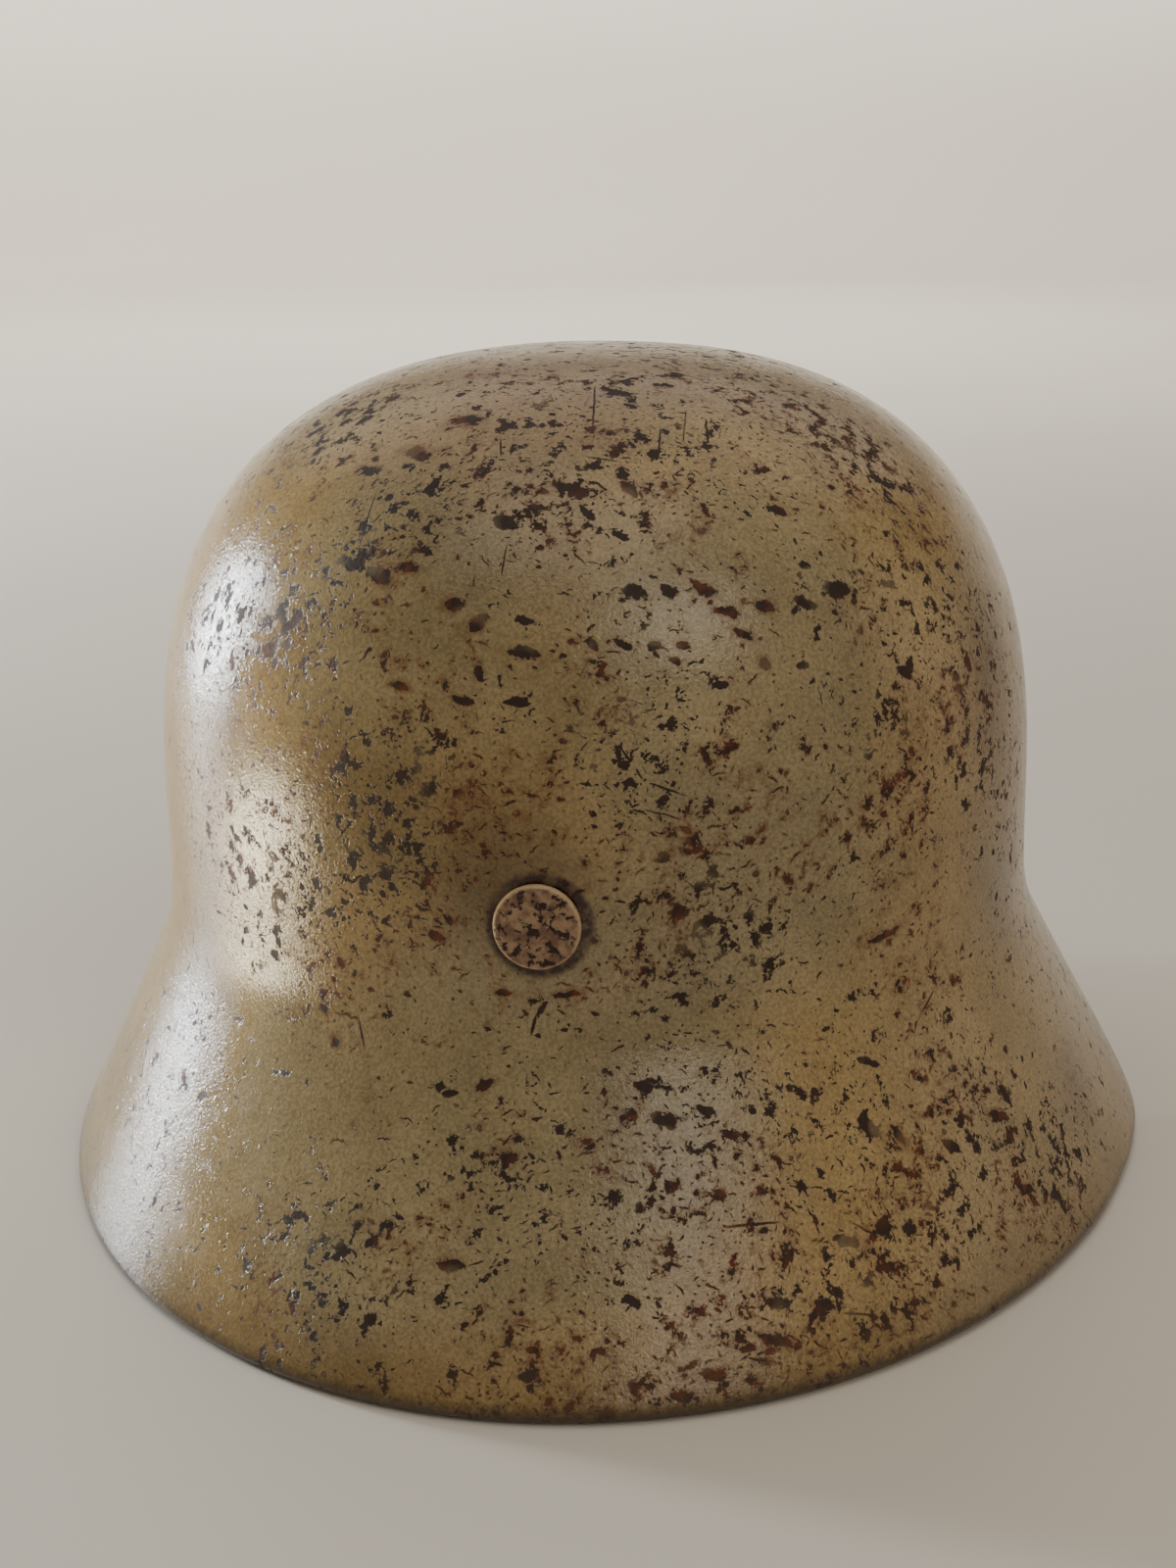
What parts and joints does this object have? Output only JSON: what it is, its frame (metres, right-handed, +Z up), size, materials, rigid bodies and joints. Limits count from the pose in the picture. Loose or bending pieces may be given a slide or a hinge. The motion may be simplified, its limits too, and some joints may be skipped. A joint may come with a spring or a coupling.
{
  "type": "steel combat helmet",
  "caption": "Domed steel helmet with a short visor, a flared neck skirt, a rolled rim, liner rivets and vent bushings.",
  "frame": {"origin": "on the resting plane, under the middle of the helmet's length and width", "axes": "+Z up through the crown, the visor points along -Y, the nape along +Y, the wearer's left is +X"},
  "size_m": [0.2376, 0.2792, 0.1707],
  "materials": {
    "shell_paint": "worn semi-gloss sand paint over steel, pitted by rust",
    "rivet_paint": "sand paint worn through to rusted steel",
    "bushing_paint": "sand paint, rusted at the edges"
  },
  "bodies": {
    "root": {"shell": "shell_paint", "liner_rivet_rear": "rivet_paint", "liner_rivet_left": "rivet_paint", "liner_rivet_right": "rivet_paint", "vent_bushing_left": "bushing_paint", "vent_bushing_right": "bushing_paint"}
  },
  "joints": []
}
